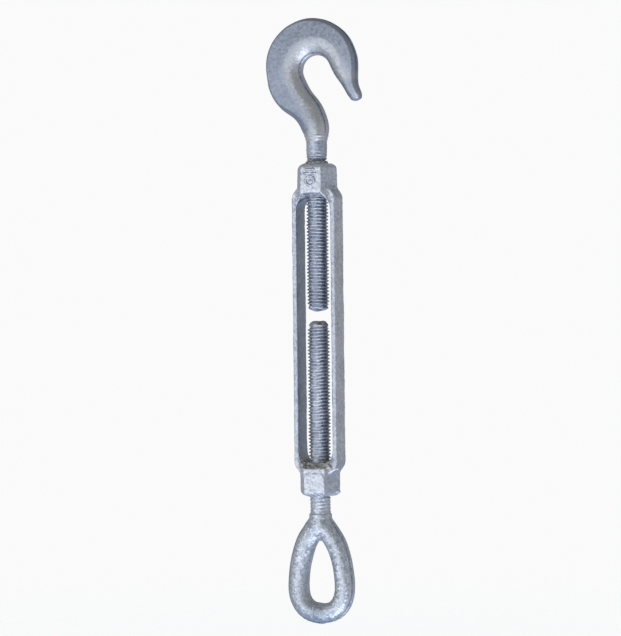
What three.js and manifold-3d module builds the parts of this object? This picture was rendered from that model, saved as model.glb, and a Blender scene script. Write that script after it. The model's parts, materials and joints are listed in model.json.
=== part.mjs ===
// A hook-and-eye rigging turnbuckle, 1/2 in thread by 6 in take-up, drop forged and hot-dip galvanised.
//
// Three forgings make it: an open buckle with a threaded nut at each end, a hook whose shank screws into
// the upper nut by a left-hand thread, and an eye whose shank screws into the lower nut by a right-hand
// thread. The plain, round tip of each shank is a mesh of its own, so that the sliding half and the
// turning half of the screw's motion each have a piece to act on.
//
// Millimetres. +Z runs along the thread axis towards the hook, X lies in the plane of the rails, the hook
// and the eye, and -Y is the front. Heights in the code are measured from the middle of the slot.

import * as THREE from 'three';
import { mergeVertices } from 'three/addons/utils/BufferGeometryUtils.js';
import Module from 'manifold-3d';

const wasm = await Module();
wasm.setup();

// ---- Driving dimensions ----

const inch = 25.4;

// Unified coarse thread, 13 to the inch, drawn as a plain V between its crest and its root.
const threadRadius = inch / 4;
const threadPitch = inch / 13;
const threadDepth = 1.2;
const threadSides = 16;
const threadClearance = 0.3;

// Buckle: the slot is the take-up, and each nut is as long as one and a half thread diameters.
const slotHalfLength = 3 * inch;
const nutLength = 0.75 * inch;
const nutCornerRadius = 12.3;
const nutEdgeRound = 3.2;
const railInner = 10.4;
const railOuter = 13.1;
const railCrown = 0.3;
const railHalfDepth = 7;
const shoulderLength = 9;
const shoulderShare = 0.85;
const slotEndDraft = 3.6;
const slotCornerRadius = 5;
const countersinkRadius = 7.45;

// Shanks: the heights of their inner ends, which leave a gap for a turning bar between them.
const hookTipZ = 10.6;
const eyeTipZ = 4.9;
const tipLength = 2.8;
const tipChamfer = 1.3;
const tipEdge = 0.4;
const tipBodyRadius = 5.95;
const tipJointGap = 0.3;

// Each head starts as a plug this far inside the rod, and widens to meet it where the thread ends.
const headPlugRadius = 5.4;
const headPlugDepth = 3;

// Hook: the bowl lies between two arcs with different centres, so it is deepest at its back. Their angles
// are in degrees, from the +X side of the circle.
const hookThreadEndZ = 110.8;
const bowlOuter = { x: -2.7, z: 152.0, radius: 28.0, from: 192, to: 16 };
const bowlInner = { x: 0.6, z: 149.3, radius: 9.1, from: 196, to: 24 };
const hookInnerHalfThickness = 6.4;
const hookOuterHalfThickness = 5.0;

// Eye: a drop-shaped loop of nearly round bar.
const eyeThreadEndZ = -105.4;
const eyeBarRadius = 5.9;

// The part's origin is the top of the hook's bowl on the thread axis, where it hangs.
const hookSeatZ = bowlInner.z + bowlInner.radius;

// ---- Solids and meshes ----

function toSolid(geometry) {
  const bare = geometry.clone();
  bare.deleteAttribute('normal');
  bare.deleteAttribute('uv');
  const merged = mergeVertices(bare, 1e-4);
  return new wasm.Manifold(
    new wasm.Mesh({
      numProp: 3,
      vertProperties: new Float32Array(merged.attributes.position.array),
      triVerts: new Uint32Array(merged.index.array),
    }),
  );
}

function toMesh(name, solid, material) {
  const { numProp, vertProperties, triVerts } = solid.getMesh();
  const geometry = new THREE.BufferGeometry();
  geometry.setAttribute('position', new THREE.BufferAttribute(new Float32Array(vertProperties), numProp));
  geometry.setIndex(new THREE.BufferAttribute(new Uint32Array(triVerts), 1));
  geometry.computeVertexNormals();
  const mesh = new THREE.Mesh(geometry, material);
  mesh.name = name;
  return mesh;
}

function indexedGeometry(points, index) {
  const geometry = new THREE.BufferGeometry();
  const positions = points.flatMap((point) => point.toArray());
  geometry.setAttribute('position', new THREE.Float32BufferAttribute(positions, 3));
  geometry.setIndex(index);
  return geometry;
}

// A closed skin through rings of equal point count. Each ring runs counter-clockwise seen from ahead.
// An open run of rings is ended by flat fans, and a looped run is joined back to its first ring.
function loft(rings, looped = false) {
  const count = rings[0].length;
  const index = [];
  const bands = looped ? rings.length : rings.length - 1;
  for (let band = 0; band < bands; band++) {
    const here = band * count;
    const ahead = ((band + 1) % rings.length) * count;
    for (let i = 0; i < count; i++) {
      const j = (i + 1) % count;
      index.push(here + i, here + j, ahead + j);
      index.push(here + i, ahead + j, ahead + i);
    }
  }
  if (!looped) {
    const last = (rings.length - 1) * count;
    for (let i = 1; i < count - 1; i++) {
      index.push(0, i + 1, i);
      index.push(last, last + i, last + i + 1);
    }
  }
  return toSolid(indexedGeometry(rings.flat(), index));
}

// A solid of revolution about Z from [radius, height] pairs that start and end on the axis. Its facets are
// turned a little, so that their corners miss the corners of what it is joined to.
function turned(profile) {
  const points = profile.map(([radius, height]) => new THREE.Vector2(radius, height));
  const turn = 0.1;
  return toSolid(new THREE.LatheGeometry(points, 2 * threadSides, turn).rotateX(Math.PI / 2));
}

// ---- Screw thread ----

// A solid V-threaded rod along Z, at least from lowZ to highZ. hand is 1 for a right-hand thread and -1
// for a left-hand one. The helix is fixed in space, so a rod and a nut cut with the same hand are in mesh.
function threadedRod(lowZ, highZ, hand, clearance = 0) {
  const ease = clearance > 0 ? 1 / Math.cos(Math.PI / threadSides) : 1;
  const crest = (threadRadius + clearance) * ease;
  const root = (threadRadius - threadDepth + clearance) * ease;
  const firstTurn = Math.floor(lowZ / threadPitch) - 1;
  const turns = Math.ceil(highZ / threadPitch) + 1 - firstTurn;
  const rootSteps = turns * threadSides;
  const crestSteps = rootSteps - threadSides;
  const points = [];
  const spiral = (radius, lift, steps) => {
    const first = points.length;
    for (let step = 0; step <= steps; step++) {
      const angle = (hand * 2 * Math.PI * step) / threadSides;
      const height = (firstTurn + step / threadSides + lift) * threadPitch;
      points.push(new THREE.Vector3(radius * Math.cos(angle), radius * Math.sin(angle), height));
    }
    return first;
  };
  const roots = spiral(root, 0, rootSteps);
  const crests = spiral(crest, 0.5, crestSteps);
  const bottom = points.push(new THREE.Vector3(0, 0, (firstTurn + 0.5) * threadPitch)) - 1;
  const top = points.push(new THREE.Vector3(0, 0, (firstTurn + turns - 0.5) * threadPitch)) - 1;

  const index = [];
  const triangle = (a, b, c) => (hand > 0 ? index.push(a, b, c) : index.push(a, c, b));
  const quad = (a, b, c, d) => {
    triangle(a, b, c);
    triangle(a, c, d);
  };
  for (let step = 0; step < crestSteps; step++) {
    const nextRoot = roots + step + threadSides;
    quad(roots + step, roots + step + 1, crests + step + 1, crests + step);
    quad(crests + step, crests + step + 1, nextRoot + 1, nextRoot);
  }
  for (let step = 0; step < threadSides; step++) {
    triangle(bottom, roots + step + 1, roots + step);
    triangle(top, roots + crestSteps + step, roots + crestSteps + step + 1);
  }
  triangle(bottom, roots, crests);
  triangle(bottom, crests, roots + threadSides);
  triangle(top, roots + rootSteps, crests + crestSteps);
  triangle(top, crests + crestSteps, roots + crestSteps);
  return toSolid(indexedGeometry(points, index));
}

// The threaded length of a shank between two heights, with a short cone at the free end.
function shank(freeEndZ, headEndZ, hand) {
  const up = Math.sign(headEndZ - freeEndZ);
  const margin = 0.5;
  const profile = [
    [0, freeEndZ],
    [threadRadius - threadDepth + margin, freeEndZ],
    [threadRadius + margin, freeEndZ + up * threadPitch],
    [threadRadius + margin, headEndZ],
    [0, headEndZ],
  ];
  if (up < 0) profile.reverse();
  const low = Math.min(freeEndZ, headEndZ);
  const high = Math.max(freeEndZ, headEndZ);
  return threadedRod(low, high, hand).intersect(turned(profile));
}

// The plain, chamfered end of a shank. endZ is its outer face and inward points to the rest of the shank.
function shankTip(endZ, inward) {
  const endRadius = tipBodyRadius - tipChamfer;
  const profile = [
    [0, endZ],
    [endRadius - tipEdge, endZ],
    [endRadius, endZ + inward * tipEdge],
    [tipBodyRadius, endZ + inward * (tipEdge + tipChamfer)],
    [tipBodyRadius, endZ + inward * tipLength],
    [0, endZ + inward * tipLength],
  ];
  if (inward < 0) profile.reverse();
  return turned(profile);
}

// ---- Buckle ----

// One cross-section of the buckle. blend is 0 on the hexagonal nut and 1 along the rails, whose outer
// sides are slightly crowned, and scale shrinks the section towards the rounded nut ends.
function buckleSection(height, blend, scale) {
  const flat = nutCornerRadius * Math.sin(Math.PI / 3);
  const mix = (nut, rail) => THREE.MathUtils.lerp(nut, rail, blend) * scale;
  const corner = [mix(nutCornerRadius, railOuter + railCrown), 0];
  const face = [mix(nutCornerRadius / 2, railInner), mix(flat, railHalfDepth)];
  const side = [mix((nutCornerRadius * 3) / 4, railOuter), mix(flat / 2, railHalfDepth)];
  const quarter = [corner, side, face];
  const half = [...quarter, ...quarter.slice().reverse().map(([x, y]) => [-x, y])];
  const around = [...half, ...half.slice(1, -1).reverse().map(([x, y]) => [x, -y])];
  return around.map(([x, y]) => new THREE.Vector3(x, y, height));
}

function buckleSolid() {
  const endZ = slotHalfLength + nutLength;
  const stations = [];
  const roundSteps = 3;
  for (let step = 0; step <= roundSteps; step++) {
    const angle = (step / roundSteps) * (Math.PI / 2);
    const inset = nutEdgeRound * (1 - Math.sin(angle));
    stations.push({
      z: endZ - nutEdgeRound * (1 - Math.cos(angle)),
      blend: 0,
      scale: 1 - inset / nutCornerRadius,
    });
  }
  const shoulderTop = slotHalfLength + shoulderShare * shoulderLength;
  const shoulderSteps = 6;
  for (let step = 0; step <= shoulderSteps; step++) {
    const along = step / shoulderSteps;
    const blend = THREE.MathUtils.smoothstep(along, 0, 1);
    stations.push({ z: shoulderTop - along * shoulderLength, blend, scale: 1 });
  }
  const upper = stations.map(({ z, blend, scale }) => buckleSection(z, blend, scale));
  const lower = stations.map(({ z, blend, scale }) => buckleSection(-z, blend, scale));
  let solid = loft([...lower, ...upper.reverse()]);

  solid = solid.subtract(slotCutter());
  const through = endZ + threadPitch;
  const inside = slotHalfLength - nutLength;
  solid = solid.subtract(threadedRod(inside, through, -1, threadClearance));
  solid = solid.subtract(threadedRod(-through, -inside, 1, threadClearance));
  for (const end of [-1, 1]) solid = solid.subtract(countersink(end * endZ, end));
  return solid;
}

// The slot between the rails, with round corners. Its ends slope outwards towards both faces.
function slotCutter() {
  const reach = nutCornerRadius + slotEndDraft;
  const drafted = nutCornerRadius * Math.sin(Math.PI / 3);
  const outline = (y, extra) => {
    const shape = new THREE.Shape();
    const halfHeight = slotHalfLength + extra;
    const arcCentreX = railInner - slotCornerRadius;
    const arcCentreZ = halfHeight - slotCornerRadius;
    shape.absarc(arcCentreX, arcCentreZ, slotCornerRadius, 0, Math.PI / 2);
    shape.absarc(-arcCentreX, arcCentreZ, slotCornerRadius, Math.PI / 2, Math.PI);
    shape.absarc(-arcCentreX, -arcCentreZ, slotCornerRadius, Math.PI, 1.5 * Math.PI);
    shape.absarc(arcCentreX, -arcCentreZ, slotCornerRadius, 1.5 * Math.PI, 2 * Math.PI);
    return shape.extractPoints(4).shape.map((point) => new THREE.Vector3(point.x, y, point.y));
  };
  const slope = slotEndDraft / (drafted - railHalfDepth);
  const overrun = slotEndDraft + slope * (reach - drafted);
  return loft([
    outline(reach, overrun),
    outline(railHalfDepth, 0),
    outline(-railHalfDepth, 0),
    outline(-reach, overrun),
  ]);
}

// The chamfer at a threaded hole's mouth. outward is the direction out of the nut.
function countersink(faceZ, outward) {
  const throat = threadRadius - threadDepth;
  const deep = countersinkRadius - throat;
  const overrun = 0.5;
  const profile = [
    [0, faceZ - outward * deep],
    [throat, faceZ - outward * deep],
    [countersinkRadius + overrun, faceZ + outward * overrun],
    [0, faceZ + outward * overrun],
  ];
  if (outward < 0) profile.reverse();
  return turned(profile);
}

// ---- Hook and eye ----

// One cross-section of a forging, in the plane through two points of its outline in the XZ plane. The
// half thickness runs from the inner edge's to the outer edge's, and flatness squares the sides off.
function forgedSection({ inner, outer, innerHalf, outerHalf = innerHalf, flatness = 1, points = 14 }) {
  const centre = new THREE.Vector3((inner[0] + outer[0]) / 2, 0, (inner[1] + outer[1]) / 2);
  const reach = new THREE.Vector3(inner[0], 0, inner[1]).sub(centre);
  const ring = [];
  for (let i = 0; i < points; i++) {
    const angle = (2 * Math.PI * i) / points;
    const half = THREE.MathUtils.lerp(outerHalf, innerHalf, (1 + Math.cos(angle)) / 2);
    const depth = half * Math.sign(Math.sin(angle)) * Math.abs(Math.sin(angle)) ** flatness;
    ring.push(centre.clone().addScaledVector(reach, Math.cos(angle)).setY(depth));
  }
  return ring;
}

// Rows of section sizes with extra rows on a smooth curve between each pair. A looped list goes round.
function smoothRows(rows, between, looped = false) {
  const count = rows.length;
  const at = (i) => (looped ? rows[(i + count) % count] : rows[THREE.MathUtils.clamp(i, 0, count - 1)]);
  const curve = (p0, p1, p2, p3, t) => {
    const bend = (2 * p0 - 5 * p1 + 4 * p2 - p3) * t * t + (3 * p1 - p0 - 3 * p2 + p3) * t * t * t;
    return p1 + ((p2 - p0) * t + bend) / 2;
  };
  const made = [];
  for (let i = 0; i < (looped ? count : count - 1); i++) {
    const near = [at(i - 1), at(i), at(i + 1), at(i + 2)];
    for (let step = 0; step <= between; step++) {
      const t = step / (between + 1);
      const field = (pick) => curve(...near.map(pick), t);
      made.push({
        inner: [field((row) => row.inner[0]), field((row) => row.inner[1])],
        outer: [field((row) => row.outer[0]), field((row) => row.outer[1])],
        innerHalf: field((row) => row.innerHalf),
        outerHalf: field((row) => row.outerHalf ?? row.innerHalf),
      });
    }
  }
  if (!looped) made.push(rows[count - 1]);
  return made;
}

// A point on a circle in the XZ plane at an angle in degrees.
function onCircle({ x, z, radius }, degrees) {
  const angle = THREE.MathUtils.degToRad(degrees);
  return [x + radius * Math.cos(angle), z + radius * Math.sin(angle)];
}

function hookSolid() {
  const hookFlatness = 0.8;
  const plugZ = hookThreadEndZ - headPlugDepth;
  const neck = [
    { inner: [headPlugRadius, plugZ], outer: [-headPlugRadius, plugZ], innerHalf: headPlugRadius },
    { inner: [7.1, hookThreadEndZ], outer: [-7.4, hookThreadEndZ], innerHalf: 7.1 },
    { inner: [6.8, 118.0], outer: [-9.3, 117.0], innerHalf: 7.2, outerHalf: 6.8 },
    { inner: [5.2, 124.0], outer: [-13.2, 122.0], innerHalf: 7.1, outerHalf: 6.2 },
    { inner: [2.6, 129.6], outer: [-19.2, 126.4], innerHalf: 6.9, outerHalf: 5.7 },
    { inner: [-0.8, 134.3], outer: [-25.0, 132.0], innerHalf: 6.7, outerHalf: 5.3 },
    { inner: [-4.6, 139.4], outer: [-28.8, 139.4], innerHalf: 6.5, outerHalf: 5.1 },
  ];
  const bowl = [];
  const bowlSteps = 8;
  for (let step = 0; step <= bowlSteps; step++) {
    const along = step / bowlSteps;
    bowl.push({
      inner: onCircle(bowlInner, THREE.MathUtils.lerp(bowlInner.from, bowlInner.to, along)),
      outer: onCircle(bowlOuter, THREE.MathUtils.lerp(bowlOuter.from, bowlOuter.to, along)),
      innerHalf: hookInnerHalfThickness,
      outerHalf: hookOuterHalfThickness,
    });
  }
  const point = [
    { inner: [11.6, 147.4], outer: [25.2, 151.6], innerHalf: 6.0, outerHalf: 4.9 },
    { inner: [14.6, 142.6], outer: [25.1, 144.6], innerHalf: 5.4, outerHalf: 4.7 },
    { inner: [17.6, 137.9], outer: [26.0, 139.2], innerHalf: 4.6, outerHalf: 4.3 },
    { inner: [20.0, 133.9], outer: [27.4, 135.0], innerHalf: 3.9 },
    { inner: [21.6, 131.9], outer: [27.2, 132.8], innerHalf: 3.0 },
    { inner: [23.4, 131.0], outer: [25.8, 131.4], innerHalf: 1.3 },
  ];
  const rows = smoothRows([...neck, ...bowl, ...point], 1);
  const sections = rows.map((row) => forgedSection({ ...row, flatness: hookFlatness }));
  return loft(sections).add(shank(hookTipZ + tipLength + tipJointGap, hookThreadEndZ, -1));
}

function eyeSolid() {
  // Half of the loop from its top to its bottom, as points on the inner and the outer edge.
  const half = [
    { inner: [0, -120.6], outer: [0, -106.0] },
    { inner: [1.9, -122.6], outer: [9.6, -114.2] },
    { inner: [4.0, -126.6], outer: [14.4, -120.8] },
    { inner: [5.9, -131.6], outer: [17.2, -128.0] },
    { inner: [7.2, -137.0], outer: [19.0, -135.4] },
    { inner: [8.0, -143.0], outer: [19.8, -143.0] },
    { inner: [8.1, -149.0], outer: [19.5, -151.0] },
    { inner: [6.8, -153.6], outer: [16.8, -159.6] },
    { inner: [4.0, -156.7], outer: [10.2, -166.3] },
    { inner: [0, -157.8], outer: [0, -169.3] },
  ];
  const mirrored = half.slice(1, -1).reverse();
  const loopRows = [
    ...half.map(({ inner, outer }) => ({ inner, outer, innerHalf: eyeBarRadius })),
    ...mirrored.map(({ inner, outer }) => ({
      inner: [-inner[0], inner[1]],
      outer: [-outer[0], outer[1]],
      innerHalf: eyeBarRadius,
    })),
  ];
  const ring = loft(smoothRows(loopRows, 1, true).map((row) => forgedSection(row)), true);
  const neckRows = [
    { halfWidth: 5.6, z: -117.4, half: 5.2 },
    { halfWidth: 9.2, z: -113.0, half: 5.9 },
    { halfWidth: 7.2, z: -109.0, half: 6.4 },
    { halfWidth: 6.6, z: eyeThreadEndZ, half: 6.6 },
    { halfWidth: headPlugRadius, z: eyeThreadEndZ + headPlugDepth, half: headPlugRadius },
  ];
  const neck = loft(neckRows.map(({ halfWidth, z, half }) => (
    forgedSection({ inner: [halfWidth, z], outer: [-halfWidth, z], innerHalf: half, points: 13 })
  )));
  return ring.add(neck).add(shank(eyeTipZ - tipLength - tipJointGap, eyeThreadEndZ, 1));
}

// ---- Assembly ----

function zinc(name, color, roughness) {
  return new THREE.MeshStandardMaterial({ name, color, roughness, metalness: 0.9 });
}

const buckleZinc = zinc('buckle_zinc', 0xaab2bd, 0.42);
const hookZinc = zinc('hook_zinc', 0x9aa3ad, 0.45);
const eyeZinc = zinc('eye_zinc', 0xa4acb6, 0.45);
const tipZinc = zinc('tip_zinc', 0x8f99a3, 0.5);

const turnbuckle = new THREE.Group();
turnbuckle.add(
  toMesh('buckle', buckleSolid(), buckleZinc),
  toMesh('hook_shank_tip', shankTip(hookTipZ, 1), tipZinc),
  toMesh('hook', hookSolid(), hookZinc),
  toMesh('eye_shank_tip', shankTip(eyeTipZ, -1), tipZinc),
  toMesh('eye', eyeSolid(), eyeZinc),
);
turnbuckle.position.z = -hookSeatZ;

const part = new THREE.Group();
part.add(turnbuckle);

export default part;
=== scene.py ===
# The looks of a hook-and-eye rigging turnbuckle: three drop forgings, hot-dip galvanised.
#
# The pieces' lengths are millimetres, and their heights are measured from the middle of the slot. X lies in
# the plane of the rails, and -Y is the front. add_piece turns them into the frame's metres, which the studio
# uses.
import itertools
import json
import math

import bpy
import numpy as np
from mathutils import Matrix, Vector


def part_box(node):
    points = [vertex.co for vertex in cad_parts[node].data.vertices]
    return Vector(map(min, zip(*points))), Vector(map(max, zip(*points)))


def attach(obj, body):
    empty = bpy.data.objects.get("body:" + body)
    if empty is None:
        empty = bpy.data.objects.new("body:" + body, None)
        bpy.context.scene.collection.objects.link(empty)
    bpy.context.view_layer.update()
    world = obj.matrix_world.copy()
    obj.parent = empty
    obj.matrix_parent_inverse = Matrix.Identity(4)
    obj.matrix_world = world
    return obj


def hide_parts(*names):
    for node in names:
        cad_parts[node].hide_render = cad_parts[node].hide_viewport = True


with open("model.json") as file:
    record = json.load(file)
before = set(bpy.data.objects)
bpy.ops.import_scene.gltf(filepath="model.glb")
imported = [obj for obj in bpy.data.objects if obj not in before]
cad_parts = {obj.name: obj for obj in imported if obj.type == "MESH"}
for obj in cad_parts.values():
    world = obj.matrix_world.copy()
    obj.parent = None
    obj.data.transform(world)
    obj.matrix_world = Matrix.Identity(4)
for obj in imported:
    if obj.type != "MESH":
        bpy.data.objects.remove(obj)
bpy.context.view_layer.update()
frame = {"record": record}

MM = 0.001

# ---- Sizes that come from the frame ----

buckle_low, buckle_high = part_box("buckle")
eye_low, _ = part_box("eye")
slot_middle = (buckle_low.z + buckle_high.z) / 2
buckle_end = (buckle_high.z - buckle_low.z) / 2 / MM
rail_outer = buckle_high.x / MM
nut_flat = buckle_high.y / MM
turn_ratio = frame["record"]["behaviour"]["couplings"][0]["ratio"]
pitch = 2 * math.pi * turn_ratio / MM
rod_radius = 6.5 * pitch / 2
hook_end = (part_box("hook_shank_tip")[0].z - slot_middle) / MM
eye_end = (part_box("eye_shank_tip")[1].z - slot_middle) / MM

# ---- Sizes of the forgings ----

slot_half_length = 4 * buckle_end / 5
rail_inner = 10.3
rail_half_depth = 7.0
rail_crown = 0.3
thread_depth = 1.2
thread_root = rod_radius - thread_depth
shank_neck_radius = 5.8
tip_length = 3.1
tip_chamfer = 1.6

# ---- Small numeric tools ----


def smoothstep(low, high, value):
    share = np.clip((value - low) / (high - low), 0, 1)
    return share * share * (3 - 2 * share)


def bump(value, centre, width):
    """1 at the centre, falling to nothing a few widths away."""
    return np.exp(-((value - centre) / width) ** 2)


def ripple(points, size, seed, waves=16):
    """Smooth seeded noise with an average height of 1, whose lumps are about half of size across."""
    random = np.random.default_rng(seed)
    direction = random.normal(size=(waves, 3))
    direction /= np.linalg.norm(direction, axis=1, keepdims=True)
    rate = 2 * math.pi / size * random.uniform(0.7, 1.4, waves)
    phase = random.uniform(0, 2 * math.pi, waves)
    return np.sin(points @ (direction.T * rate) + phase).sum(-1) * math.sqrt(2 / waves)


def thread_lift(points, hand):
    """0 at the root of a screw thread and 1 on its crest. hand is 1 for right-hand and -1 for left-hand."""
    angle = np.arctan2(points[..., 1], points[..., 0])
    turns = points[..., 2] / pitch - hand * angle / (2 * math.pi)
    return ((1 - np.cos(2 * math.pi * turns)) / 2) ** 0.85


def spline(at, rows, wanted):
    """The natural cubic spline through rows at the places in at, read at the wanted places."""
    gap = np.diff(at)
    slope = np.diff(rows, axis=0) / gap[:, None]
    system = np.eye(len(at))
    right = np.zeros_like(rows)
    for i in range(1, len(at) - 1):
        system[i, i - 1:i + 2] = gap[i - 1], 2 * (gap[i - 1] + gap[i]), gap[i]
        right[i] = 6 * (slope[i] - slope[i - 1])
    bend = np.linalg.solve(system, right)
    i = np.clip(np.searchsorted(at, wanted) - 1, 0, len(at) - 2)
    gap = gap[i][:, None]
    late = (wanted - at[i])[:, None] / gap
    early = 1 - late
    curve = (early ** 3 - early) * bend[i] + (late ** 3 - late) * bend[i + 1]
    return early * rows[i] + late * rows[i + 1] + curve * gap ** 2 / 6


def distance_along(points):
    """How far along the path through them each of a row of points lies."""
    return np.concatenate([[0], np.cumsum(np.linalg.norm(np.diff(points, axis=0), axis=1))])


def even_rows(rows, count):
    """Rows resampled at even distances. Their first four columns are an inner and an outer point, and the
    distances run half-way between the two."""
    rows = np.array(rows, float)
    at = distance_along((rows[:, 0:2] + rows[:, 2:4]) / 2)
    return spline(at, rows, np.linspace(0, at[-1], count))


# ---- Solids as signed distances ----


def meet(a, b, radius):
    """What two solids share, its edge rounded to a radius."""
    corner = np.hypot(np.maximum(radius + a, 0), np.maximum(radius + b, 0))
    return np.minimum(-radius, np.maximum(a, b)) + corner


def join(a, b, radius):
    """Two solids together, with a fillet of a radius between them."""
    corner = np.hypot(np.maximum(radius - a, 0), np.maximum(radius - b, 0))
    return np.maximum(radius, np.minimum(a, b)) - corner


def cut(a, b, radius):
    """The first solid without the second, its edge rounded to a radius."""
    return meet(a, -b, radius)


def rounded_box(u, v, half_u, half_v, radius):
    """The distance to a rectangle about the origin with round corners."""
    over_u = np.abs(u) - half_u + radius
    over_v = np.abs(v) - half_v + radius
    outside = np.hypot(np.maximum(over_u, 0), np.maximum(over_v, 0))
    return outside + np.minimum(np.maximum(over_u, over_v), 0) - radius


def rod(points, start, end, start_radius, end_radius):
    """The distance to a round bar between two points. It has ball ends, and its radius may change."""
    start, end = np.array(start, float), np.array(end, float)
    along = end - start
    share = np.clip((points - start) @ along / (along @ along), 0, 1)
    away = np.linalg.norm(points - start - share[..., None] * along, axis=-1)
    return away - (start_radius + share * (end_radius - start_radius))


def skin(field, low, high, step):
    """Points and quads over the surface where a signed distance is zero, by surface nets on a grid."""
    axes = [np.arange(a, b + step, step) for a, b in zip(low, high)]
    grid = np.stack(np.meshgrid(*axes, indexing="ij"), -1)
    value = field(grid)
    inside = value < 0
    cells = tuple(n - 1 for n in inside.shape)
    corners = np.array(list(itertools.product((0, 1), repeat=3)))
    held = np.zeros(cells, int)
    for corner in corners:
        held += inside[tuple(slice(c, c + n) for c, n in zip(corner, cells))]
    cell = np.argwhere((held > 0) & (held < len(corners)))
    values = np.stack([value[tuple((cell + corner).T)] for corner in corners], 1)
    total = np.zeros((len(cell), 3))
    count = np.zeros((len(cell), 1))
    for a, b in itertools.combinations(range(8), 2):
        if np.abs(corners[a] - corners[b]).sum() == 1:
            crosses = (values[:, a] < 0) != (values[:, b] < 0)
            fall = np.where(crosses, values[:, a] - values[:, b], 1)
            share = np.where(crosses, values[:, a] / fall, 0)[:, None]
            total += crosses[:, None] * (corners[a] + share * (corners[b] - corners[a]))
            count += crosses[:, None]
    points = np.array(low) + step * (cell + total / count)

    number = np.full(cells, -1)
    number[tuple(cell.T)] = np.arange(len(cell))
    quads = []
    for axis in range(3):
        u, v = np.eye(3, dtype=int)[[(axis + 1) % 3, (axis + 2) % 3]]
        first = np.take(inside, range(inside.shape[axis] - 1), axis)
        second = np.take(inside, range(1, inside.shape[axis]), axis)
        node = np.argwhere(first != second)
        leaving = first[tuple(node.T)]
        around = [number[tuple((node - shift).T)] for shift in (0 * u, u, u + v, v)]
        quad = np.stack(around, 1)
        quad[~leaving] = quad[~leaving][:, ::-1]
        quads.append(quad)
    return points, np.concatenate(quads)


def settle(points, field):
    """Points moved onto the surface of a signed distance by two steps along its slope."""
    reach = 0.05
    flattest = 0.1
    longest_move = 0.3
    for _ in range(2):
        slope = []
        for axis in np.eye(3):
            ahead, behind = field(points + reach * axis), field(points - reach * axis)
            slope.append((ahead - behind) / (2 * reach))
        slope = np.stack(slope, -1)
        steepness = np.maximum((slope ** 2).sum(-1, keepdims=True), flattest)
        points = points - np.clip(field(points)[:, None] * slope / steepness, -longest_move, longest_move)
    return points


# ---- Skins and pieces ----


def tube(rings):
    """Points, quads and end triangles over rings that run counter-clockwise as seen from ahead."""
    count, around = rings.shape[:2]
    number = np.arange(count * around).reshape(count, around)
    turned = np.roll(number, -1, 1)
    quads = np.stack([number[:-1], turned[:-1], turned[1:], number[1:]], -1).reshape(-1, 4)
    points = np.concatenate([rings.reshape(-1, 3), rings[:1].mean(1), rings[-1:].mean(1)])
    first, last = count * around, count * around + 1
    ends = [(first, b, a) for a, b in zip(number[0], turned[0])]
    ends += [(last, a, b) for a, b in zip(number[-1], turned[-1])]
    return points, quads, np.array(ends)


def normals_of(points, quads):
    corner = points[quads]
    facing = np.cross(corner[:, 2] - corner[:, 0], corner[:, 3] - corner[:, 1])
    normal = np.zeros_like(points)
    for side in range(4):
        np.add.at(normal, quads[:, side], facing)
    return normal / np.maximum(np.linalg.norm(normal, axis=1, keepdims=True), 1e-9)


def weather(points, quads, seed, coarse, fine):
    """A forged and dipped surface: points moved along their normals by broad and by small waves, in mm."""
    swell = coarse * ripple(points, 14, seed) + fine * ripple(points, 2.6, seed + 1)
    return points + normals_of(points, quads) * swell[:, None]


def add_piece(name, body, node, slot, material, points, faces, **marks):
    """A mesh piece that stands for a CAD node and rides on its body. marks are values at its points, from 0
    to 1, that its material reads: grime, which in places is painted shade, and painted shade that is darker
    and bluer, which on the hook also stands for duller zinc."""
    mesh = bpy.data.meshes.new(name)
    mesh.from_pydata((points * MM + (0, 0, slot_middle)).tolist(), [], faces)
    mesh.shade_smooth()
    for mark, values in marks.items():
        layer = mesh.attributes.new(mark, "FLOAT", "POINT")
        layer.data.foreach_set("value", np.clip(values, 0, 1).astype(np.float32))
    mesh.materials.append(material)
    piece = bpy.data.objects.new(name, mesh)
    bpy.context.scene.collection.objects.link(piece)
    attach(piece, body)
    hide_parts(node)
    return piece


# ---- Materials ----


def link(tree, kind, inputs=None, **settings):
    """A new shader node with its settings, and its inputs given as values or as other nodes' outputs."""
    made = tree.nodes.new(kind)
    for key, value in settings.items():
        setattr(made, key, value)
    for key, value in (inputs or {}).items():
        if isinstance(value, bpy.types.NodeSocket):
            tree.links.new(value, made.inputs[key])
        else:
            made.inputs[key].default_value = value
    return made


def ramp(tree, factor, stops):
    made = link(tree, "ShaderNodeValToRGB", {0: factor})
    elements = made.color_ramp.elements
    while len(elements) < len(stops):
        elements.new(0.5)
    for element, (place, colour) in zip(elements, stops):
        element.position = place
        element.color = (*colour, 1)
    return made.outputs[0]


def mixed_colour(tree, share, first, second, blend="MIX"):
    """Two colours blended by a share. Sockets 0, 6 and 7 are the share and the colours."""
    inputs = {0: share, 6: first, 7: second}
    return link(tree, "ShaderNodeMix", inputs, data_type="RGBA", blend_type=blend).outputs[2]


def vector_math(tree, operation, inputs):
    return link(tree, "ShaderNodeVectorMath", inputs, operation=operation).outputs


def weighted(tree, parts):
    """The sum of a few outputs, each times its weight."""
    total = None
    for output, weight in parts:
        if total is None:
            total = link(tree, "ShaderNodeMath", {0: output, 1: weight}, operation="MULTIPLY").outputs[0]
        else:
            inputs = {0: output, 1: weight, 2: total}
            total = link(tree, "ShaderNodeMath", inputs, operation="MULTIPLY_ADD").outputs[0]
    return total


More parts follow.
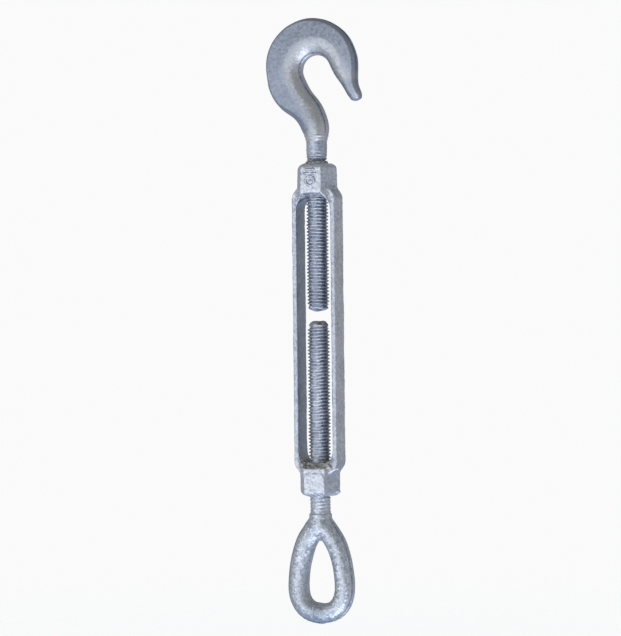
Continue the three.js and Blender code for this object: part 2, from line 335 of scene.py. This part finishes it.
def zinc(name, dark, middle, bright, grain=1.0):
    """Hot-dip zinc: cloudy patches, spangle, fine grain, brown-grey grime and painted shade. A dark bluish
    colour paints the shade and the hook's duller zinc, and the grime also paints shade in a few places. The
    noises' scales are lumps a metre."""
    material = bpy.data.materials.new(name)
    material.use_nodes = True
    tree = material.node_tree
    surface = tree.nodes["Principled BSDF"]
    place = link(tree, "ShaderNodeTexCoord").outputs["Object"]

    def noise(scale, detail, roughness=0.55):
        inputs = {"Vector": place, "Scale": scale, "Detail": detail, "Roughness": roughness}
        return link(tree, "ShaderNodeTexNoise", inputs).outputs["Fac"]

    clouds = noise(scale=70, detail=3)
    patches = noise(scale=650, detail=3)
    specks = noise(scale=1700, detail=2, roughness=0.6)
    spangle_scale = 900
    crystal = link(tree, "ShaderNodeTexVoronoi", {"Vector": place, "Scale": spangle_scale}, feature="F1")
    facet = link(tree, "ShaderNodeSeparateColor", {0: crystal.outputs["Color"]})
    weights = (0.4, 0.25, 0.45 * grain, 0.25 * grain)
    shade = weighted(tree, zip((clouds, patches, specks, facet.outputs[0]), weights))
    middle_shade = sum(weights) / 2
    shade_reach = 0.28
    spread = link(tree, "ShaderNodeMapRange", {
        "Value": shade, "From Min": middle_shade - shade_reach, "From Max": middle_shade + shade_reach,
    })
    zinc_colour = ramp(tree, spread.outputs[0], [(0, dark), (0.5, middle), (1, bright)])
    hollow = link(tree, "ShaderNodeAttribute", attribute_name="hollow").outputs["Fac"]
    # Painted shade: a dark bluish colour that stands in for shade and the bluish light in it, and on the
    # hook also for duller zinc.
    hollow_colour = (0.03, 0.09, 0.20, 1)
    zinc_colour = mixed_colour(tree, hollow, zinc_colour, hollow_colour)

    # Brown-grey grime, which also paints shade in the gap round the hook's shank and along the flash lines.
    grime_and_shade_share = link(tree, "ShaderNodeAttribute", attribute_name="grime").outputs["Fac"]
    grime_and_shade_edge = weighted(tree, [(grime_and_shade_share, 1.5), (patches, 0.9), (specks, 0.5)])
    grime_and_shade_mask = link(tree, "ShaderNodeMapRange", {"Value": grime_and_shade_edge, "From Min": 0.85, "From Max": 1.7})
    grime_and_shade_mask = grime_and_shade_mask.outputs[0]
    grime_colour = ramp(tree, patches, [
        (0.34, (0.13, 0.125, 0.12)), (0.5, (0.35, 0.34, 0.325)), (0.66, (0.58, 0.56, 0.54)),
    ])
    tree.links.new(mixed_colour(tree, grime_and_shade_mask, zinc_colour, grime_colour), surface.inputs["Base Color"])

    metal = link(tree, "ShaderNodeMapRange", {"Value": grime_and_shade_mask, "To Min": 0.86, "To Max": 0.35})
    tree.links.new(metal.outputs[0], surface.inputs["Metallic"])
    gloss = weighted(tree, [(patches, 0.5), (facet.outputs[1], 0.25), (grime_and_shade_mask, 0.5)])
    rough = link(tree, "ShaderNodeMapRange", {
        "Value": gloss, "From Min": 0.1, "From Max": 0.9, "To Min": 0.22, "To Max": 0.62,
    })
    tree.links.new(rough.outputs[0], surface.inputs["Roughness"])

    height = weighted(tree, [(patches, 0.6 * grain), (specks, 0.40 * grain)])
    relief_depth = 0.16 * MM
    relief = link(tree, "ShaderNodeBump", {"Height": height, "Strength": 0.8, "Distance": relief_depth})
    tilt = vector_math(tree, "SUBTRACT", {0: crystal.outputs["Color"], 1: (0.5, 0.5, 0.5)})[0]
    facet_lean = 0.24 * grain
    lean = vector_math(tree, "SCALE", {0: tilt, "Scale": facet_lean})[0]
    leaning = vector_math(tree, "ADD", {0: relief.outputs[0], 1: lean})[0]
    tree.links.new(vector_math(tree, "NORMALIZE", {0: leaning})[0], surface.inputs["Normal"])
    return material


buckle_zinc = zinc("buckle_zinc", (0.36, 0.38, 0.42), (0.58, 0.60, 0.64), (0.82, 0.83, 0.86))
hook_zinc = zinc("hook_zinc", (0.41, 0.415, 0.42), (0.51, 0.51, 0.515), (0.66, 0.67, 0.69), grain=0.6)
eye_zinc = zinc("eye_zinc", (0.36, 0.39, 0.43), (0.50, 0.53, 0.57), (0.72, 0.75, 0.79), grain=1.3)
thread_zinc = zinc("thread_zinc", (0.47, 0.49, 0.53), (0.65, 0.67, 0.71), (0.85, 0.87, 0.90))
tip_zinc = zinc("tip_zinc", (0.46, 0.49, 0.55), (0.66, 0.70, 0.78), (0.86, 0.90, 0.95))

# ---- Buckle ----

nut_inner_end = slot_half_length - 6
nut_edge = 0.5
nut_crown = 1.0
nut_crown_width = 9
nut_end_round = 3.3
nut_taper = 0.03
nut_fullness = 0.25
shoulder_round = 7.0
shoulder_reach = 82.0
shoulder_fillet = 2.6
slot_corner = 6.5
upper_slot_slope = 0.68
lower_slot_slope = 0.95
rail_edge = 0.6
thread_clearance = 0.25
countersink_radius = 7.3
countersink_edge = 0.25

# A forging mark on the upper nut's front flat. Its points are an X and a height.
mark_stroke = 0.62
mark_fillet = 0.2
mark_ring_centre = (-0.4, 85.4)
mark_ring_radius = 2.6
mark_dot_radius = 0.8
mark_bars = [((-3.6, 89.6), (2.8, 89.7)), ((-2.6, 91.9), (1.8, 92.0))]

# The sleeve of zinc on the upper nut, round the hook's shank.
collar_radius = 6.05
collar_half_thickness = 0.45
collar_rise = 1.2
collar_foot = 2
collar_lean = 0.08
collar_fillet = 1.0
collar_grip = 0.2
collar_edge = 0.2

# A web in a slot corner, flash and a burr: two ends and the radius at each.
zinc_fillet = 1.0
zinc_bars = [
    ((-9.6, -4.5, 75.2), (-7.6, -3.6, 77.0), 2.1, 1.8),
    ((8.2, -7.0, -81.4), (13.0, -5.2, -79.2), 0.5, 0.7),
    ((10.8, -1.0, -92.4), (11.9, -0.6, -92.9), 0.9, 0.6),
]

# The lower nut's front flat lies deeper above an arched line.
arch_foot = 13.2
arch_drop = 3.2
arch_half_width = 6.5
arch_recess = 0.38

# The crust of zinc at the lower end of the slot.
crust_height = -77.5
crust_lift = 0.4

# The line on the rails' outer sides where the forging dies met.
parting_lift = 0.22
parting_y = 0.3
parting_width = 0.55


def nut_field(side, depth, height, z):
    """The hexagonal nut at each end, with its corners on the X axis and its ends rounded over."""
    flat = nut_flat - nut_taper * (height - shoulder_reach)
    soft_depth = np.hypot(depth, nut_edge)
    slanted = side * math.cos(math.pi / 6) + soft_depth * math.sin(math.pi / 6) - flat - nut_fullness
    prism = meet(slanted, depth - flat, nut_edge)
    crown = nut_crown * (z > 0) * bump(np.hypot(side, depth), 0, nut_crown_width)
    return np.maximum(meet(prism, height - buckle_end - crown, nut_end_round), nut_inner_end - height)


def mark_field(points):
    """A plain raised ring with a dot in it, below two bars."""
    face = -nut_flat
    ring_x, ring_z = mark_ring_centre
    from_centre = np.hypot(points[..., 0] - ring_x, points[..., 2] - ring_z)
    mark = np.hypot(from_centre - mark_ring_radius, points[..., 1] - face) - mark_stroke
    dot_ends = (ring_x, face, ring_z), (ring_x + 0.1, face, ring_z)
    mark = np.minimum(mark, rod(points, *dot_ends, mark_dot_radius, mark_dot_radius))
    for (start_x, start_z), (end_x, end_z) in mark_bars:
        bar = rod(points, (start_x, face, start_z), (end_x, face, end_z), mark_stroke, mark_stroke)
        mark = np.minimum(mark, bar)
    return mark


def zinc_runs(points):
    """Where the dip left more zinc than it should."""
    return np.minimum.reduce([rod(points, *bar) for bar in zinc_bars])


def collar_field(points):
    """The sleeve of zinc, with a ragged top. It leans in a little."""
    radius = np.hypot(points[..., 0], points[..., 1])
    angle = np.arctan2(points[..., 1], points[..., 0])
    top = buckle_end + collar_rise + 0.3 * np.cos(2 * angle + 0.6) + 0.2 * np.cos(5 * angle)
    middle = np.clip(points[..., 2], buckle_end - collar_foot, top)
    inward = collar_lean * (middle - buckle_end)
    return np.hypot(radius - collar_radius + inward, points[..., 2] - middle) - collar_half_thickness


def buckle_field(points):
    x, y, z = points[..., 0], points[..., 1], points[..., 2]
    side, depth, height = np.abs(x), np.abs(y), np.abs(z)
    radius = np.hypot(x, y)

    crowned = side + rail_crown * (depth / rail_half_depth) ** 2
    outline = rounded_box(crowned, z, rail_outer, shoulder_reach, shoulder_round)
    body = meet(outline, depth - rail_half_depth, rail_edge)
    body = join(body, nut_field(side, depth, height, z), shoulder_fillet)
    slope = np.where(z > 0, upper_slot_slope, lower_slot_slope)
    slot_end = slot_half_length + slope * np.maximum(depth - rail_half_depth, 0)
    slot_height = height * slot_half_length / slot_end
    slot = rounded_box(side, slot_height, rail_inner, slot_half_length, slot_corner)
    body = cut(body, slot, rail_edge)

    body = join(body, zinc_runs(points), zinc_fillet)
    body = join(body, mark_field(points), mark_fillet)
    arch = -buckle_end + arch_foot - arch_drop * (side / arch_half_width) ** 6
    above_arch = smoothstep(-0.8, 0.8, z - arch)
    on_front = smoothstep(-10.0, -10.5, y)
    below_slot = smoothstep(-79, -80.5, z)
    body = body + arch_recess * above_arch * on_front * below_slot
    crust = bump(z, crust_height, 2.8) * (y < 0) * smoothstep(10.5, 9, side) * smoothstep(nut_flat, 9, depth)
    body = body - crust_lift * crust * smoothstep(6.8, 7.8, radius) * ripple(points, 4.5, 5)

    lift = np.where(z > 0, thread_lift(points, -1), thread_lift(points, 1))
    bore = radius - (thread_root + thread_clearance + thread_depth * lift)
    bore = np.maximum(bore, nut_inner_end - height)
    mouth = (radius - countersink_radius - height + buckle_end) / math.sqrt(2)
    opening = np.maximum(np.minimum(bore, mouth), height - buckle_end - nut_crown)
    body = cut(body, opening, countersink_edge)
    body = join(body, collar_field(points), collar_fillet)
    sleeve_bore = np.maximum(radius - shank_neck_radius + collar_grip, buckle_end - 2.5 - z)
    return cut(body, sleeve_bore, collar_edge)


def make_buckle():
    reach = (rail_outer + 1, nut_flat + 0.8)
    low = (-reach[0], -reach[1], -buckle_end - 1)
    high = (reach[0], reach[1], buckle_end + 3.5)
    grid_step = 0.45
    points, quads = skin(buckle_field, low, high, grid_step)
    points = settle(points, buckle_field)
    side, depth, z = np.abs(points[:, 0]), np.abs(points[:, 1]), points[:, 2]
    on_rail = smoothstep(80, 74, np.abs(z)) * (side > rail_outer - 1)
    normal = normals_of(points, quads)
    parting = parting_lift * on_rail * bump(points[:, 1], parting_y, parting_width)
    points = points + normal * parting[:, None]
    points = weather(points, quads, 11, 0.06, 0.035)

    radius = np.hypot(points[:, 0], points[:, 1])
    crusted = bump(z, crust_height + 0.3, 2.9) * smoothstep(11, 8, side)
    crusted = crusted * smoothstep(nut_flat + 0.3, nut_flat - 0.5, depth)
    # Painted shade in the gap between the zinc sleeve and the hook's shank.
    collar_gap_shade = bump(z, buckle_end + 1, 1.3) * smoothstep(8.5, 7, radius)
    in_bore = (radius < rod_radius + 0.6) * 0.8
    corner = 0.35 * bump(np.abs(z), slot_half_length, 3) * smoothstep(nut_flat, 8, depth)
    corner = corner * (side < rail_inner) * (z < 0)
    grime = 0.95 * crusted + 0.5 * collar_gap_shade + in_bore + corner
    # Painted shade: the rails' inner faces along the slot, where the bar hides them, are darker and bluer;
    # the rails' front and back faces there are a little darker, and outside the slot's length faces turned
    # to the right, away from the light, are darker.
    along_slot = smoothstep(slot_half_length + 1, slot_half_length - 2, np.abs(z))
    inside = smoothstep(rail_inner + 0.7, rail_inner + 0.2, side)
    hollow = along_slot * (0.45 * inside + 0.2 * (1 - inside) * smoothstep(6.3, 6.8, depth))
    hollow = hollow + 0.2 * (1 - along_slot) * smoothstep(0.5, 0.8, normal[:, 0])
    add_piece(
        "buckle_forging", "buckle", "buckle", "buckle_zinc", buckle_zinc, points, quads.tolist(),
        grime=grime, hollow=hollow,
    )


# ---- Shanks ----

shank_sides = 72
shank_step = 0.14
chamfer_crest = 5.3
chamfer_root = 4.9
thread_shade = 0.45
end_stations = 60


def shank_circle():
    """The angles of a shank's points round its axis, and the directions to them."""
    angle = np.linspace(0, 2 * math.pi, shank_sides, endpoint=False)
    return angle, np.stack([np.cos(angle), np.sin(angle)], -1)


def shank_skin(hand, heights, crest_row, root_row, fill):
    """Rings of a threaded bar, and how high each point lies on its thread. crest_row and root_row give the
    radii at the heights, and fill says how far zinc fills the thread, from an angle and a height."""
    angle, ring = shank_circle()
    z = np.arange(heights[0], heights[-1], shank_step)
    crest = np.interp(z, heights, crest_row)[:, None]
    root = np.interp(z, heights, root_row)[:, None]
    place = np.concatenate([
        np.broadcast_to(ring * rod_radius, (len(z), shank_sides, 2)),
        np.broadcast_to(z[:, None, None], (len(z), shank_sides, 1)),
    ], -1)
    lift = thread_lift(place, hand)
    filled = np.clip(fill(angle[None, :], z[:, None]) * (1 + 0.45 * ripple(place, 7, 21)), 0, 0.9)
    radius = root + (crest - root) * np.maximum(lift, filled)
    radius = radius + 0.03 * ripple(place, 2.6, 22) + 0.05 * ripple(place, 9, 23)
    rings = place.copy()
    rings[..., :2] = ring * radius[..., None]
    return rings, lift


def add_shank(name, body, node, slot, material, rings, **marks):
    points, quads, ends = tube(rings)
    marks = {mark: np.concatenate([values.ravel(), [0, 0]]) for mark, values in marks.items()}
    add_piece(name, body, node, slot, material, points, quads.tolist() + ends.tolist(), **marks)


def facing(angle, azimuth, width):
    """1 where an angle round the axis faces a compass direction, falling off to both sides. Degrees."""
    away = np.cos(angle - math.radians(azimuth - 90))
    return smoothstep(math.cos(math.radians(width)), 1, away)


def make_hook_shank():
    low = hook_end + tip_length
    heights = [low, low + tip_chamfer, buckle_end, buckle_end + 3.5, 103, 112]
    crest = [chamfer_crest, rod_radius, rod_radius, shank_neck_radius, 5.95, 6.0]
    root = [chamfer_root, thread_root, thread_root, 5.3, 5.9, 5.98]

    def fill(angle, z):
        return 0.25 * facing(angle, -20, 60) + 0 * z

    rings, lift = shank_skin(-1, heights, crest, root, fill)
    z = rings[..., 2]
    gap_height = buckle_end + 2.2
    gap = bump(z, gap_height, 0.5)
    rings[..., :2] *= 1 - 0.09 * gap[..., None]
    # Painted shade: the thread's roots and the gap below the zinc sleeve are darker and bluer, and the gap
    # also gets the grime colour as painted shade. The shank is a little darker all over, and more so above
    # the collar.
    hollow = thread_shade * (1 - lift) ** 1.5 * smoothstep(101, 97, z)
    hollow = hollow + 0.8 * gap + 0.06 + 0.29 * smoothstep(96, 98, z)
    grime = 0.45 * bump(z, gap_height, 1.6)
    add_shank("hook_thread", "hook", "hook", "hook_zinc", thread_zinc, rings, grime=grime, hollow=hollow)


def make_eye_shank():
    high = eye_end - tip_length
    heights = [-112, -105, -buckle_end - 1.5, -buckle_end, high - tip_chamfer, high]
    crest = [6.0, 5.95, shank_neck_radius, rod_radius, rod_radius, chamfer_crest]
    root = [5.9, 5.78, 5.55, thread_root, thread_root, chamfer_root]

    def fill(angle, z):
        return 0.42 * facing(angle, -5, 55) * smoothstep(2, -20, z)

    rings, lift = shank_skin(1, heights, crest, root, fill)
    z = rings[..., 2]
    # Painted shade: the thread's roots are darker and bluer. Below the nut the shank is darker.
    hollow = thread_shade * (1 - lift) ** 1.5 * smoothstep(-99, -95, z)
    hollow = hollow + 0.2 * smoothstep(-95, -97, z)
    grime = 0.4 * bump(z, -76, 5)
    add_shank("eye_thread", "eye", "eye", "eye_zinc", thread_zinc, rings, grime=grime, hollow=hollow)


def end_rings(profile, end_height, off_centre, seed):
    """Rings of a bar end, upwards. profile is pairs of a radius and a height over end_height, and the nose
    sits off centre by off_centre."""
    profile = np.array(profile) + (0, end_height)
    travel = distance_along(profile)
    dense = spline(travel, profile, np.linspace(0, travel[-1], end_stations))
    _, ring = shank_circle()
    radius = np.maximum(dense[:, 0], 0.02)[:, None, None]
    nose_share = np.clip(1 - radius / profile[:, 0].max(), 0, 1)
    flat = ring * radius + np.array(off_centre) * nose_share ** 1.5
    rings = np.concatenate([flat, np.broadcast_to(dense[:, 1, None, None], flat.shape[:2] + (1,))], -1)
    rings[..., 2] += 0.16 * ripple(rings, 5, seed)
    rings[..., :2] *= 1 + 0.012 * ripple(rings, 4, seed + 1)[..., None]
    return rings


def make_shank_ends():
    nose = [(0, 0), (1.6, 0.15), (3.6, 0.8), (5.1, 1.5), (5.75, 2.2), (5.6, 2.8), (5.1, 3.2), (4.4, 3.8)]
    rings = end_rings(nose, hook_end, (-1.0, 0.2), 31)
    grime = 0 * rings[..., 2]
    add_shank("hook_shank_end", "hook_carrier", "hook_shank_tip", "tip_zinc", tip_zinc, rings, grime=grime)

    stub = [
        (4.2, -3.8), (4.8, -3.2), (5.3, -2.8), (5.6, -2.1), (4.9, -1.0), (4.2, -0.2), (3.4, 0.15), (0, 0.1),
    ]
    rings = end_rings(stub, eye_end, (0.5, 0.0), 41)
    grime = 0.8 * smoothstep(eye_end - 4, eye_end - 1, rings[..., 2])
    add_shank("eye_shank_end", "eye_carrier", "eye_shank_tip", "tip_zinc", tip_zinc, rings, grime=grime)


# ---- Hook ----

hook_stations = 340
hook_half_around = 96
bead_half = 6.4
bead_reach = 9.5
web_half = 4.7
edge_share = 0.25
inner_flash = 2.4
inner_flash_lift = 0.45
outer_flash = 0.9
outer_flash_lift = 0.4

# The arcs of the bowl and of the hook's back: a centre, a radius, and the first and last direction. Degrees.
bowl_arc = (0.6, 149.3), 9.1, (196, 24)
back_arc = (-2.4, 151.7), 27.4, (192, 16)


def on_arc(arc, along):
    """The point a share of the way along an arc."""
    centre, radius, (first, last) = arc
    angle = math.radians(first + along * (last - first))
    return centre[0] + radius * math.cos(angle), centre[1] + radius * math.sin(angle)


def hook_rows():
    """The hook's outline from its neck to its point. A row is the inner point, the outer point, half the
    thickness at the inner bead and at the outer web, and how far the outer edge's rounding reaches in."""
    neck = [
        (5.3, 107.0, -5.3, 107.0, 5.3, 5.3, 5.3),
        (6.0, 108.6, -6.1, 108.6, 6.0, 6.0, 6.0),
        (6.7, 111.0, -6.8, 111.0, 6.7, 6.7, 6.7),
        (6.9, 113.2, -7.4, 112.8, 6.9, 6.7, 6.9),
        (6.8, 118.0, -9.3, 117.0, 7.2, 6.7, 7.0),
        (5.2, 124.0, -13.2, 122.0, 7.1, 6.2, 6.2),
        (2.6, 129.6, -19.2, 126.4, 6.9, 5.6, 5.4),
        (-0.8, 134.3, -24.6, 132.2, 6.7, 5.2, 3.4),
        (-4.6, 139.4, -28.1, 139.4, 6.5, web_half, 2.4),
    ]
    bowl = []
    for along in np.linspace(0, 1, 11):
        bowl.append((*on_arc(bowl_arc, along), *on_arc(back_arc, along), bead_half, web_half, 2.0))
    point = [
        (11.6, 147.4, 25.0, 151.6, 5.9, 4.8, 2.0),
        (14.6, 142.6, 24.9, 144.6, 5.3, 4.7, 2.1),
        (17.6, 137.9, 25.8, 139.2, 4.6, 4.4, 2.4),
        (20.0, 133.9, 27.4, 135.0, 3.9, 3.9, 2.8),
        (21.2, 132.2, 27.5, 133.1, 3.2, 3.2, 3.0),
        (22.7, 131.2, 26.4, 131.8, 1.9, 1.9, 1.8),
        (24.2, 131.0, 25.2, 131.15, 0.5, 0.5, 0.5),
    ]
    return neck + bowl + point


def quarter_round(reach, power):
    """Rises from 0 at an edge to 1 where its rounding ends, as a quarter circle does."""
    return (1 - (1 - np.clip(reach, 0, 1)) ** power) ** (1 / power)


def half_section(width, inner_half, outer_half, outer_round):
    """The back half of a cross-section of the hook, from its inner to its outer edge: distances in from the
    inner edge and depths behind the middle, at points that are evenly spaced."""
    into = width * (1 - np.cos(np.linspace(0, math.pi, 500))) / 2
    bead_round = min(bead_reach, width / 2)
    sharpness = 2 + smoothstep(6, 4, outer_round)
    half = inner_half + (outer_half - inner_half) * np.clip((into - bead_round) / (width - bead_round), 0, 1)
    depth = half * quarter_round(into / bead_round, 2)
    depth = depth * quarter_round((width - into) / min(outer_round, width / 2), sharpness)
    travel = np.concatenate([[0], np.cumsum(np.hypot(np.diff(into), np.diff(depth)))])
    even = np.linspace(0, travel[-1], hook_half_around + 1)
    return np.interp(even, travel, into), np.interp(even, travel, depth)


def flash_band(depth, half_width):
    """Where trimmed flash stands proud of a forging's edge, and a line of painted shade along both sides of
    it.
    """
    band = smoothstep(half_width + 0.25, half_width - 0.25, np.abs(depth))
    return band, bump(np.abs(depth), half_width + 0.35, 0.4)


def make_hook_head():
    rings, flash_shades, dull = [], [], []
    for row in even_rows(hook_rows(), hook_stations):
        inner, outer = row[0:2], row[2:4]
        width = np.linalg.norm(outer - inner)
        into, depth = half_section(width, *row[4:7])
        into = np.concatenate([into, into[-2:0:-1]])
        depth = np.concatenate([depth, -depth[-2:0:-1]])
        at_inner, at_outer = into < edge_share * width, into > (1 - edge_share) * width
        inner_band, inner_line = flash_band(depth, inner_flash)
        outer_band, outer_line = flash_band(depth, outer_flash)
        room = smoothstep(6, 14, width) * smoothstep(110, 116, inner[1])
        step = room * (outer_flash_lift * outer_band * at_outer - inner_flash_lift * inner_band * at_inner)
        place = inner + (outer - inner) * ((into + step) / width)[:, None]
        rings.append(np.stack([place[:, 0], depth, place[:, 1]], -1))
        # Painted shade along the flash lines.
        flash_shades.append(room * (inner_line * at_inner + outer_line * at_outer))
        # The web is duller and darker, and so is the point.
        duller_point = 0.35 * smoothstep(11.5, 9, width) * (inner[0] > bowl_arc[0][0])
        dull.append(0.45 * room * smoothstep(3, 13, into) + duller_point)

    points, quads, ends = tube(np.array(rings))
    flash_shade = np.concatenate([*flash_shades, [0, 0]])
    dull = np.concatenate([*dull, [0, 0]])
    z = points[:, 2]
    radius = np.hypot(points[:, 0], points[:, 1])
    # A raised line runs round the neck, with a shallow groove on either side of it.
    neck_line = 0.20 * bump(z, 111.5, 0.35) - 0.16 * bump(z, 110.6, 0.4) - 0.1 * bump(z, 112.3, 0.35)
    normal = normals_of(points, quads)
    points = points + normal * (neck_line * (radius < 9))[:, None]
    points = weather(points, quads, 51, 0.04, 0.008)
    faces = quads.tolist() + ends.tolist()
    add_piece(
        "hook_head", "hook", "hook", "hook_zinc", hook_zinc, points, faces,
        grime=0.3 * flash_shade, hollow=0.8 * flash_shade + dull,
    )


# ---- Eye ----

eye_top = -105.4
eye_flash = 1.4
eye_flash_lift = 0.6
eye_shift = 0.35
eye_slimming = 0.3
eye_middle = -143
eye_stations = 36

# The right limb's middle line, downwards: X, the height and the bar's radius.
eye_limb = [
    (0.0, -101.0, 6.3), (0.0, -106.0, 6.4), (0.3, -109.5, 6.4), (2.2, -113.0, 6.2), (5.2, -116.8, 5.9),
    (8.2, -121.4, 5.9), (11.1, -128.8, 5.9), (12.8, -136.2, 5.9), (13.75, -143.6, 5.9),
    (13.7, -150.2, 5.85), (11.7, -156.5, 5.8), (7.1, -161.0, 5.7), (0.0, -162.6, 5.7),
]


def eye_field(points):
    """Two limbs of round bar, which a fillet joins in the crotch below the neck. Below it they shift to the
    right together, and the right one is slimmer."""
    rows = np.array(eye_limb)
    at = distance_along(rows[:, :2])
    rows = spline(at, rows, np.linspace(0, at[-1], eye_stations))

    def lean(z):
        return smoothstep(-112, -135, z)

    limbs = []
    for side in (-1, 1):
        distance = np.full(points.shape[:-1], np.inf)
        for start, end in zip(rows[:-1], rows[1:]):
            a = (side * start[0] + eye_shift * lean(start[1]), 0, start[1])
            b = (side * end[0] + eye_shift * lean(end[1]), 0, end[1])
            slim = eye_slimming * lean(start[1]) * (side > 0)
            distance = np.minimum(distance, rod(points, a, b, start[2] - slim, end[2] - slim))
        limbs.append(distance)
    z = points[..., 2]
    fillet = 0.3 + 2.6 * smoothstep(-131, -122, z) * smoothstep(-108, -114, z)
    return meet(join(*limbs, fillet), z - eye_top, 0.4)


def make_eye_head():
    grid_step = 0.4
    points, quads = skin(eye_field, (-21, -8, -171), (21, 8, -103), grid_step)
    points = settle(points, eye_field)
    normal = normals_of(points, quads)
    outward = (normal[:, 0] * points[:, 0] + normal[:, 2] * (points[:, 2] - eye_middle)) > 0
    below_neck = smoothstep(-106, -112, points[:, 2])
    # Painted shade in a line along both sides of the flash.
    band, flash_shade = flash_band(points[:, 1], eye_flash)
    flash_shade = flash_shade * outward * below_neck
    points = points + normal * (eye_flash_lift * band * outward * below_neck)[:, None]
    points = weather(points, quads, 61, 0.035, 0.012)
    bottom = smoothstep(-150, -158, points[:, 2])
    # Grime inside the bottom of the eye, and painted shade along the flash.
    grime = 0.35 * bump(points[:, 1], 0, 2.5) * ~outward * bottom + 0.4 * flash_shade
    # Painted shade: the bottom of the eye is darker in the middle.
    shade = 0.3 * bump(points[:, 0], -2, 9) * smoothstep(-156, -163, points[:, 2])
    add_piece(
        "eye_head", "eye", "eye", "eye_zinc", eye_zinc, points, quads.tolist(),
        grime=grime, hollow=0.75 * flash_shade + shade,
    )


make_buckle()
make_hook_shank()
make_eye_shank()
make_shank_ends()
make_hook_head()
make_eye_head()

# ---- Studio ----

view_azimuth = 21
view_distance = 1.8
view_height = 0.3657
view_lean = 0.61
aim_left = 0.0046
aim_up = 0.0070
backdrop_white = (0.955, 0.958, 0.955, 1)


def direction(azimuth, elevation):
    """The unit vector towards a compass direction. Azimuth 0 is the front and 90 the right. Degrees."""
    a, e = math.radians(azimuth), math.radians(elevation)
    return Vector((math.sin(a) * math.cos(e), -math.cos(a) * math.cos(e), math.sin(e)))


def make_camera():
    back = direction(view_azimuth, 0)
    right = Vector((math.cos(math.radians(view_azimuth)), math.sin(math.radians(view_azimuth)), 0))
    up = Vector((0, 0, 1))
    aim = Vector((0, 0, slot_middle)) - right * aim_left + up * aim_up
    turn = Matrix((right, up, back)).transposed() @ Matrix.Rotation(math.radians(-view_lean), 3, "Z")
    data = bpy.data.cameras.new("camera")
    data.sensor_width = 36
    data.lens = data.sensor_width * view_distance / view_height
    camera = bpy.data.objects.new("camera", data)
    camera.matrix_world = Matrix.Translation(aim + back * view_distance) @ turn.to_4x4()
    bpy.context.scene.collection.objects.link(camera)
    bpy.context.scene.camera = camera


def make_world():
    """Soft light from all round: brightest in front, bluish below and dimmer above. The camera sees a plain
    pale backdrop."""
    world = bpy.data.worlds.new("studio")
    world.use_nodes = True
    tree = world.node_tree
    tree.nodes.clear()
    toward = link(tree, "ShaderNodeTexCoord").outputs["Generated"]
    rise = link(tree, "ShaderNodeSeparateXYZ", {0: toward}).outputs["Z"]
    rise_share = link(tree, "ShaderNodeMapRange", {"Value": rise, "From Min": -1, "From Max": 1}).outputs[0]
    colour = ramp(tree, rise_share, [
        (0.0, (0.60, 0.70, 0.92)), (0.35, (0.42, 0.46, 0.54)), (0.5, (0.40, 0.41, 0.43)),
        (0.7, (0.345, 0.36, 0.375)), (1.0, (0.33, 0.345, 0.36)),
    ])
    # Soft lights: the direction of each, the cosines where its edge and its core begin, and its colour.
    lights = [
        (direction(-16, -8), 0.66, 0.98, (0.88, 0.92, 1.0)),
        (direction(34, -52), 0.82, 0.985, (1.7, 1.85, 2.05)),
        (direction(92, 5), 0.60, 1.00, (0.16, 0.16, 0.17)),
        (direction(-70, 15), 0.60, 1.00, (0.16, 0.17, 0.19)),
    ]
    for middle, edge, core, tint in lights:
        near = vector_math(tree, "DOT_PRODUCT", {0: toward, 1: middle})["Value"]
        near = link(tree, "ShaderNodeMapRange", {
            "Value": near, "From Min": edge, "From Max": core,
        }, interpolation_type="SMOOTHSTEP").outputs[0]
        colour = mixed_colour(tree, near, colour, (*tint, 1), blend="ADD")
    seen = link(tree, "ShaderNodeLightPath").outputs["Is Camera Ray"]
    shown = mixed_colour(tree, seen, colour, backdrop_white)
    background = link(tree, "ShaderNodeBackground", {"Color": shown})
    output = link(tree, "ShaderNodeOutputWorld")
    tree.links.new(background.outputs[0], output.inputs[0])
    bpy.context.scene.world = world


def make_floor():
    """A plain pale disc just below the eye, which fades out into the backdrop and is clear from below."""
    floor_radius = 0.55
    floor_drop = 18 * MM
    sides = 96
    height = eye_low.z - floor_drop
    turns = [2 * math.pi * i / sides for i in range(sides)]
    rim = [(floor_radius * math.cos(a), floor_radius * math.sin(a), height) for a in turns]
    mesh = bpy.data.meshes.new("floor")
    mesh.from_pydata(rim, [], [range(sides)])
    material = bpy.data.materials.new("pale_floor")
    material.use_nodes = True
    tree = material.node_tree
    tree.nodes.clear()
    place = link(tree, "ShaderNodeTexCoord").outputs["Object"]
    flat = vector_math(tree, "MULTIPLY", {0: place, 1: (1, 1, 0)})[0]
    away = vector_math(tree, "LENGTH", {0: flat})["Value"]
    solid = link(tree, "ShaderNodeMapRange", {
        "Value": away, "From Min": 0.3 * floor_radius, "From Max": floor_radius, "To Min": 0.4, "To Max": 0,
    })
    below = link(tree, "ShaderNodeNewGeometry").outputs["Backfacing"]
    above = link(tree, "ShaderNodeMath", {0: 1.0, 1: below}, operation="SUBTRACT").outputs[0]
    solid = link(tree, "ShaderNodeMath", {0: solid.outputs[0], 1: above}, operation="MULTIPLY")
    paper = link(tree, "ShaderNodeBsdfDiffuse", {"Color": (0.9, 0.9, 0.9, 1)})
    glow = link(tree, "ShaderNodeEmission", {"Color": backdrop_white, "Strength": 0.6})
    lit = link(tree, "ShaderNodeAddShader", {0: paper.outputs[0], 1: glow.outputs[0]})
    clear = link(tree, "ShaderNodeBsdfTransparent")
    mixed = link(tree, "ShaderNodeMixShader", {0: solid.outputs[0], 1: clear.outputs[0], 2: lit.outputs[0]})
    output = link(tree, "ShaderNodeOutputMaterial")
    tree.links.new(mixed.outputs[0], output.inputs[0])
    mesh.materials.append(material)
    floor = bpy.data.objects.new("floor", mesh)
    floor.visible_glossy = False
    floor.visible_diffuse = False
    bpy.context.scene.collection.objects.link(floor)


make_camera()
make_world()
make_floor()
bpy.context.scene.view_settings.view_transform = "Standard"
